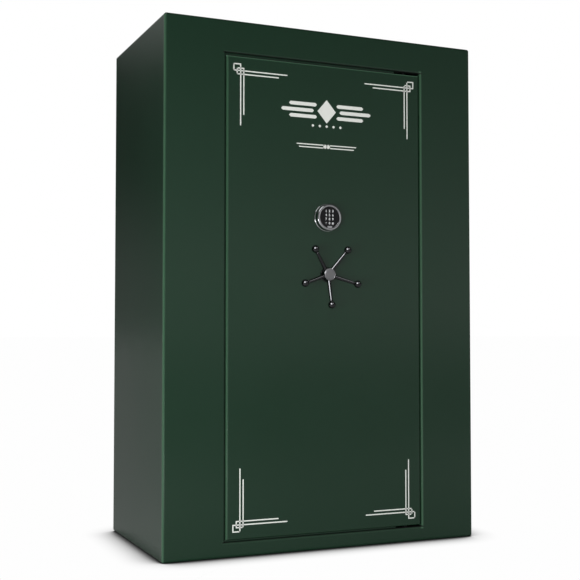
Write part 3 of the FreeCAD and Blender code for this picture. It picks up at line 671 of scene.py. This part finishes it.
def makeDivider():
    # two pairs of thin rules with a pair of lozenges between them
    rule = {"down": 290.5 * mm, "apart": 5 * mm, "line": 3.6 * mm, "start": 13 * mm,
            "upper": 117 * mm, "lower": 108 * mm, "lozengeX": 5.8 * mm, "lozenge": 8.5 * mm}
    middle = doorHigh.z - rule["down"]
    half = rule["line"] / 2
    strokes = []
    for side in (-1, 1):
        for z, reach in ((middle + rule["apart"], rule["upper"]),
                         (middle - rule["apart"], rule["lower"])):
            x0, x1 = sorted((side * rule["start"], side * reach))
            strokes.append(inkBox("rule", x0, x1, z - half, z + half))
        strokes.append(inkLozenge(side * rule["lozengeX"], middle,
                                  rule["lozenge"], rule["lozenge"]))
    piece = joinPieces(strokes, "door_rule")
    editPiece(piece)
    finishPiece(piece, "door", ink, smoothAngle=20)


makeCrest()
makeDivider()
print("door ornament drawn")


# handle

def makeHandle():
    handle = {"spokes": 5, "root": 7.2 * mm, "end": 5.0 * mm, "collar": 6.9 * mm,
              # where a spoke starts and its ball sits: out from the axis, and off the door
              "startOut": 14 * mm, "startOff": 14 * mm, "ballOut": 107 * mm, "ballOff": 39.5 * mm,
              # a ball's rings, in degrees from its near pole
              "ball": 13.2 * mm, "firstRing": 8, "ringStep": 8.2, "rings": 21,
              # the hub's flat face, told by its depth and its slope
              "faceDepth": 0.5 * mm, "faceSlope": -0.6}
    deep = doorFront - hubLow.y
    hub = turnedPiece(
        "handle_boss",
        [(24.5 * mm, 0.7 * mm), (26.4 * mm, 1.4 * mm), (26.4 * mm, 4.6 * mm), (25.6 * mm, 5.4 * mm),
         (23.4 * mm, 8.0 * mm), (22.4 * mm, 14.0 * mm), (21.8 * mm, 23.0 * mm),
         (21.6 * mm, deep - 2.0 * mm), (21.2 * mm, deep - 0.8 * mm), (20.6 * mm, deep - 0.2 * mm),
         (20.0 * mm, deep), (18.6 * mm, deep), (18.2 * mm, deep - 0.35 * mm),
         (17.8 * mm, deep - 0.35 * mm), (17.4 * mm, deep), (2.0 * mm, deep)],
        (hubMid.x, doorFront, hubMid.z), (0, -1, 0), sides=96)
    finishPiece(hub, "handle", smokedNickel, replaces=["handle_hub"])
    hub.data.materials.append(satinNickel)
    for face in hub.data.polygons:
        if (face.center.y < hubLow.y + handle["faceDepth"]
                and face.normal.y < handle["faceSlope"]):
            face.material_index = 1

    root, end, collar, ball = handle["root"], handle["end"], handle["collar"], handle["ball"]
    rings = [math.radians(handle["firstRing"] + handle["ringStep"] * i)
             for i in range(handle["rings"])]
    ballSteps = [(ball * math.sin(a), -ball * math.cos(a)) for a in rings]
    spokes = []
    knobs = []
    for count in range(handle["spokes"]):
        angle = math.radians(-90 + 360 / handle["spokes"] * count)
        out = Vector((math.cos(angle), 0, math.sin(angle)))
        start = Vector((hubMid.x, doorFront - handle["startOff"], hubMid.z))
        start += out * handle["startOut"]
        knob = Vector((hubMid.x, doorFront - handle["ballOff"], hubMid.z))
        knob += out * handle["ballOut"]
        along = knob - start
        length = along.length
        along.normalize()
        taper = (end - root) / length
        near = length - ball
        spokes.append(turnedPiece(
            "spoke",
            [(root, 0), (root + taper * 6 * mm, 6 * mm), (root + taper * length / 2, length / 2),
             (root + taper * (near - 4 * mm), near - 4 * mm),
             (collar - 0.8 * mm, near - 3.4 * mm), (collar, near - 2.6 * mm),
             (collar, near - 1.2 * mm), (collar - 0.7 * mm, near - 0.4 * mm),
             (end - 0.4 * mm, near), (end - 0.6 * mm, near + 1.6 * mm)],
            start, along, sides=40))
        knobs.append(turnedPiece("knob", ballSteps, knob, along, sides=48))
    arms = finishPiece(joinPieces(spokes, "handle_arms"), "handle", smokedNickel,
                       replaces=["handle_spokes"])
    balls = finishPiece(joinPieces(knobs, "handle_balls"), "handle", smokedNickel,
                        replaces=["handle_knobs"], smoothAngle=50)
    return [hub, arms, balls]


handleParts = makeHandle()
print("handle turned")


# keypad

def makeKeypad():
    ring = {"rim": 47.0 * mm, "window": 37.0 * mm, "deep": 25.0 * mm, "floor": 6.5 * mm}
    x, z = keypadMid.x, keypadMid.z
    deep, rim, window = ring["deep"], ring["rim"], ring["window"]
    floor = deep - ring["floor"]
    housing = turnedPiece(
        "keypad_ring",
        [(rim + 0.6 * mm, 0.0), (rim + 1.4 * mm, 0.5 * mm), (rim + 1.4 * mm, 2.4 * mm),
         (rim + 0.8 * mm, 2.9 * mm), (rim - 0.4 * mm, 3.0 * mm), (rim - 0.4 * mm, 4.2 * mm),
         (rim + 0.1 * mm, 4.6 * mm), (rim - 0.2 * mm, 12.0 * mm), (rim - 0.5 * mm, deep - 4.0 * mm),
         (rim - 1.2 * mm, deep - 1.7 * mm), (rim - 2.4 * mm, deep - 0.6 * mm),
         (rim - 4.2 * mm, deep), (window + 1.9 * mm, deep), (window + 0.7 * mm, deep - 0.6 * mm),
         (window + 0.1 * mm, deep - 1.8 * mm), (window + 0.1 * mm, floor + 1.5 * mm),
         (window - 0.4 * mm, floor + 1.0 * mm), (window - 0.6 * mm, floor),
         (window - 4.0 * mm, floor)],
        (x, doorFront, z), (0, -1, 0), sides=128)
    tab = makeTab(x, z - window, doorFront - deep)
    piece = joinPieces([housing, tab], "keypad_ring")
    return finishPiece(piece, "door", chrome, replaces=["keypad_housing"])


def insetFront(insets):
    # steps the front face in; insets are (thickness, depth)
    bpy.ops.mesh.select_mode(type="FACE")
    pickFaces(lambda center, normal: normal.y < -0.9)
    for thickness, depth in insets:
        bpy.ops.mesh.inset(thickness=thickness, depth=depth)


def makeTab(x, z, front):
    tab = {"width": 18 * mm, "tall": 11 * mm, "thick": 4.0 * mm, "round": 2.5 * mm,
           "sunk": 0.6 * mm, "up": 1.5 * mm,
           "insets": ((1.0 * mm, 0.35 * mm), (0.8 * mm, 0.0))}
    middle = (x, front + tab["sunk"] + tab["thick"] / 2, z + tab["up"])
    clearSelection()
    bpy.ops.mesh.primitive_cube_add(size=1, location=middle)
    piece = bpy.context.object
    piece.scale = (tab["width"], tab["thick"], tab["tall"])
    editPiece(piece)
    pickEdges(isDeep)
    bpy.ops.mesh.bevel(offset=tab["round"], segments=5, affect="EDGES")
    insetFront(tab["insets"])
    bpy.ops.object.mode_set(mode="OBJECT")
    return piece


def keyLegend(mark, x, z, front):
    legend = {"size": 11.4 * mm, "height": 0.06 * mm, "bolder": 0.38 * mm}
    clearSelection()
    bpy.ops.object.text_add(location=(0, 0, 0))
    text = bpy.context.object
    text.data.body = mark
    text.data.align_x = "CENTER"
    text.data.align_y = "CENTER"
    text.data.size = legend["size"]
    text.data.extrude = legend["height"]
    text.data.offset = legend["bolder"]
    text.data.resolution_u = 3
    bpy.ops.object.convert(target="MESH")
    piece = bpy.context.object
    piece.rotation_euler = (math.radians(90), 0, 0)
    piece.location = (x, front, z)
    settle(piece)
    return piece


def makeKeys():
    cap = {"crown": 0.5 * mm, "corner": 2.4 * mm, "starDrop": 1.4 * mm, "legendSunk": 0.04 * mm,
           "insets": ((0.35 * mm, 0.28 * mm), (0.6 * mm, 0.16 * mm), (1.0 * mm, 0.05 * mm))}
    marks = {"star": "*", "hash": "#"}
    low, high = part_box("key_1")
    clearSelection()
    bpy.ops.mesh.primitive_cube_add(size=1, location=(low + high) / 2)
    master = bpy.context.object
    master.name = "keycap_master"
    master.scale = high - low
    editPiece(master)
    pickEdges(isDeep)
    bpy.ops.mesh.bevel(offset=cap["corner"], segments=6, affect="EDGES")
    bpy.ops.mesh.select_mode(type="FACE")
    pickFaces(lambda center, normal: normal.y < -0.9)
    bpy.ops.transform.translate(value=(0, cap["crown"], 0))
    insetFront(cap["insets"])
    bpy.ops.object.mode_set(mode="OBJECT")
    caps = {}
    for name in [n for n in nodes if n.startswith("key_")]:
        start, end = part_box(name)
        shift = (start + end) / 2 - (low + high) / 2
        caps[name] = (copyPiece(master, name.replace("key_", "keycap_"), shift), start, end)
    bpy.data.objects.remove(master)
    for name, (keycap, start, end) in caps.items():
        keycap.data.materials.clear()
        keycap.data.materials.append(keyRubber)
        mark = name.replace("key_", "")
        mark = marks.get(mark, mark)
        middle = (start + end) / 2
        drop = cap["starDrop"] if mark == "*" else 0  # a star stands high in its line
        legend = keyLegend(mark, middle.x, middle.z - drop, start.y + cap["legendSunk"])
        legend.data.materials.clear()
        legend.data.materials.append(legendInk)
        piece = joinPieces([keycap, legend], name.replace("key_", "keycap_"))
        finishPiece(piece, name, None, replaces=[name])


keypadRing = makeKeypad()
makeKeys()
for piece in (*handleParts, keypadRing):
    piece.visible_glossy = False  # the enamel is too soft a mirror to show them
print("keypad made")


# studio

def shadeByRamp(node, stops):
    # grey stops, (position, level) from left to right
    elements = node.color_ramp.elements
    lastOne = len(stops) - 1
    for count, (position, level) in enumerate(stops):
        if count in (0, lastOne):
            element = elements[0 if count == 0 else -1]
        else:
            element = elements.new(position)
        element.position = position
        element.color = (level, level, level, 1)


def makeRoom():
    # even light from all round, with a bright soft panel on the right and a wall behind
    room = {
        # brightness by height of the view line, from straight down to straight up
        "base": ((-1.0, 0.08), (-0.05, 0.08), (0.10, 0.12), (1.0, 0.12)),
        "panel": ((-0.35, 1.0), (-0.20, 1.0), (-0.08, 1.2), (0.05, 0.64), (0.15, 0.33),
                  (0.24, 0.26), (0.36, 0.04)),
        "wall": ((-0.35, 0.12), (-0.20, 0.12), (-0.08, 0.12), (0.05, 0.117), (0.15, 0.034),
                 (0.24, 0.031), (0.36, 0.75)),
        # which way each patch lies, and where its soft edge starts and ends
        "panelToward": (0.40, -0.917, 0.0), "panelEdge": (0.55, 0.92),
        "wallToward": (-0.29, 0.957, 0.0), "wallEdge": (0.55, 0.90),
    }
    world = bpy.data.worlds.new("softStudio")
    scene.world = world
    world.use_nodes = True
    tree = world.node_tree
    tree.nodes.clear()
    link = tree.links.new
    coords = addNode(tree, "ShaderNodeTexCoord")
    split = addNode(tree, "ShaderNodeSeparateXYZ")
    link(coords.outputs["Generated"], split.inputs[0])

    def levelByHeight(levels):
        height = addNode(tree, "ShaderNodeMapRange")
        height.inputs["From Min"].default_value = -1.0
        height.inputs["From Max"].default_value = 1.0
        shade = addNode(tree, "ShaderNodeValToRGB")
        shadeByRamp(shade, [((z + 1) / 2, level) for z, level in levels])
        link(split.outputs["Z"], height.inputs["Value"])
        link(height.outputs["Result"], shade.inputs["Fac"])
        return shade.outputs["Color"]

    def overlay(below, levels, toward, edge):
        # a broad soft-edged patch of light around one direction
        turn = addNode(tree, "ShaderNodeVectorMath", operation="DOT_PRODUCT")
        turn.inputs[1].default_value = toward
        link(coords.outputs["Generated"], turn.inputs[0])
        inside = addNode(tree, "ShaderNodeMapRange", interpolation_type="SMOOTHSTEP")
        inside.inputs["From Min"].default_value = edge[0]
        inside.inputs["From Max"].default_value = edge[1]
        link(turn.outputs["Value"], inside.inputs["Value"])
        blend = addNode(tree, "ShaderNodeMix", data_type="RGBA")
        link(inside.outputs["Result"], blend.inputs[0])
        link(below, blend.inputs[6])
        link(levelByHeight(levels), blend.inputs[7])
        return blend.outputs[2]

    levels = levelByHeight(room["base"])
    levels = overlay(levels, room["panel"], room["panelToward"], room["panelEdge"])
    levels = overlay(levels, room["wall"], room["wallToward"], room["wallEdge"])
    surroundings = addNode(tree, "ShaderNodeBackground")
    link(levels, surroundings.inputs["Color"])
    # the camera sees plain white behind the object
    backdrop = addNode(tree, "ShaderNodeBackground")
    backdrop.inputs["Color"].default_value = (1, 1, 1, 1)
    rays = addNode(tree, "ShaderNodeLightPath")
    choose = addNode(tree, "ShaderNodeMixShader")
    output = addNode(tree, "ShaderNodeOutputWorld")
    link(rays.outputs["Is Camera Ray"], choose.inputs[0])
    link(surroundings.outputs[0], choose.inputs[1])
    link(backdrop.outputs[0], choose.inputs[2])
    link(choose.outputs[0], output.inputs["Surface"])


def makeFloor():
    ground = {
        "size": 400, "drop": 0.5 * mm, "bounce": 0.5, "glow": 0.07,
        # how close something has to stand to darken the floor, and how dark it gets:
        # the share of open sky, then the level
        "reach": 0.15,
        "contact": ((0.50, 0.02), (0.526, 0.095), (0.551, 0.18), (0.576, 0.29), (0.601, 0.38),
                    (0.627, 0.485), (0.652, 0.56), (0.70, 0.66), (0.748, 0.75), (0.794, 0.83),
                    (0.858, 0.913), (0.917, 0.96), (0.964, 0.99)),
        "dim": (0.5, 0.70), "seenSamples": 64, "unseenSamples": 4,
    }
    clearSelection()
    bpy.ops.mesh.primitive_plane_add(size=ground["size"], location=(0, 0, -ground["drop"]))
    floor = bpy.context.object
    floor.name = "studio_floor"
    material = bpy.data.materials.new("paleFloor")
    material.use_nodes = True
    tree = material.node_tree
    tree.nodes.clear()
    link = tree.links.new
    # what the camera sees: plain white with a contact shadow
    crevice = addNode(tree, "ShaderNodeAmbientOcclusion", samples=ground["seenSamples"])
    crevice.inputs["Distance"].default_value = ground["reach"]
    contact = addNode(tree, "ShaderNodeValToRGB")
    shadeByRamp(contact, ground["contact"])
    seen = addNode(tree, "ShaderNodeEmission")
    link(crevice.outputs["AO"], contact.inputs["Fac"])
    link(contact.outputs["Color"], seen.inputs["Color"])
    # what lights the object: a bounce and a faint glow, dim where it stands close
    nearby = addNode(tree, "ShaderNodeAmbientOcclusion", samples=ground["unseenSamples"])
    nearby.inputs["Distance"].default_value = ground["reach"]
    dim = addNode(tree, "ShaderNodeMapRange")
    dim.inputs["From Min"].default_value, dim.inputs["From Max"].default_value = ground["dim"]
    lit = addNode(tree, "ShaderNodeMath", operation="MULTIPLY")
    lit.inputs[1].default_value = ground["bounce"]
    bounce = addNode(tree, "ShaderNodeBsdfDiffuse")
    glow = addNode(tree, "ShaderNodeEmission", Strength=ground["glow"])
    unseen = addNode(tree, "ShaderNodeAddShader")
    link(nearby.outputs["AO"], dim.inputs["Value"])
    link(dim.outputs["Result"], lit.inputs[0])
    link(lit.outputs[0], bounce.inputs["Color"])
    link(dim.outputs["Result"], glow.inputs["Color"])
    link(bounce.outputs[0], unseen.inputs[0])
    link(glow.outputs[0], unseen.inputs[1])
    rays = addNode(tree, "ShaderNodeLightPath")
    choose = addNode(tree, "ShaderNodeMixShader")
    output = addNode(tree, "ShaderNodeOutputMaterial")
    link(rays.outputs["Is Camera Ray"], choose.inputs[0])
    link(unseen.outputs[0], choose.inputs[1])
    link(seen.outputs[0], choose.inputs[2])
    link(choose.outputs[0], output.inputs["Surface"])
    floor.data.materials.append(material)


def hangLights():
    sun = {"at": (-2.7, -4.68, 5.7), "strength": 0.8, "angle": 40}
    # soft boxes: place, aim, size and watts; "gloss" says whether they mirror in paint and
    # metal, and "only" limits one to a few pieces
    boxes = {
        "sideBox": {"at": (-2.8, -1.7, 0.30), "aim": (-0.6, 0.0, 0.30), "size": (1.6, 0.8),
                    "watts": 48, "gloss": False},
        "frontBox": {"at": (-1.8, -2.5, 0.75), "aim": (0.0, -0.3, 0.75), "size": (1.6, 1.3),
                     "watts": 54, "gloss": False},
        "rightBox": {"at": (2.9, -2.1, 0.75), "aim": (0.1, -0.3, 0.75), "size": (1.7, 1.7),
                     "watts": 28, "gloss": False},
        "backBox": {"at": (2.4, 2.6, 1.3), "aim": (0.2, 0.3, 0.9), "size": (2.0, 1.6),
                    "watts": 130, "gloss": False,
                    "only": [nodes["back_panel"], nodes["body_wrap"]]},
        "handleBox": {"at": (-1.55, -2.45, 2.35), "aim": tuple(hubMid), "size": (2.3, 1.7),
                      "watts": 165, "gloss": True, "only": handleParts},
        "spokeStrip": {"at": (1.0, -2.15, 2.50), "aim": tuple(hubMid), "size": (1.8, 0.6),
                       "watts": 16, "gloss": True, "only": handleParts},
        "ringBox": {"at": (-2.8, -1.7, 0.30), "aim": tuple(keypadMid), "size": (1.6, 0.8),
                    "watts": 30, "gloss": True, "only": [keypadRing]},
    }

    def hang(name, lamp, at, aim):
        holder = bpy.data.objects.new(name, lamp)
        scene.collection.objects.link(holder)
        holder.location = at
        holder.visible_camera = False
        holder.rotation_euler = (Vector(aim) - Vector(at)).to_track_quat("-Z", "Y").to_euler()
        return holder

    lamp = bpy.data.lights.new("softSun", "SUN")
    lamp.energy = sun["strength"]
    lamp.angle = math.radians(sun["angle"])
    hang("softSun", lamp, sun["at"], (0, 0, 0))
    for name, box in boxes.items():
        lamp = bpy.data.lights.new(name, "AREA")
        lamp.shape = "RECTANGLE"
        lamp.size, lamp.size_y = box["size"]
        lamp.energy = box["watts"]
        holder = hang(name, lamp, box["at"], box["aim"])
        holder.visible_glossy = box["gloss"]
        if "only" in box:
            chosen = bpy.data.collections.new(name + "Pieces")
            for piece in box["only"]:
                chosen.objects.link(piece)
            holder.light_linking.receiver_collection = chosen


def makeCamera():
    view = {"at": (-1.6212, -3.7091, 0.7556), "yaw": -0.4117, "pitch": 0.0404, "lens": 66.04,
            "sensor": 36.0}
    data = bpy.data.cameras.new("productCamera")
    data.sensor_width = view["sensor"]
    data.lens = view["lens"]
    camera = bpy.data.objects.new("productCamera", data)
    scene.collection.objects.link(camera)
    camera.location = view["at"]
    camera.rotation_euler = (math.pi / 2 + view["pitch"], 0, view["yaw"])
    scene.camera = camera


makeRoom()
makeFloor()
hangLights()
makeCamera()
scene.view_settings.view_transform = "Standard"
print("studio lit")
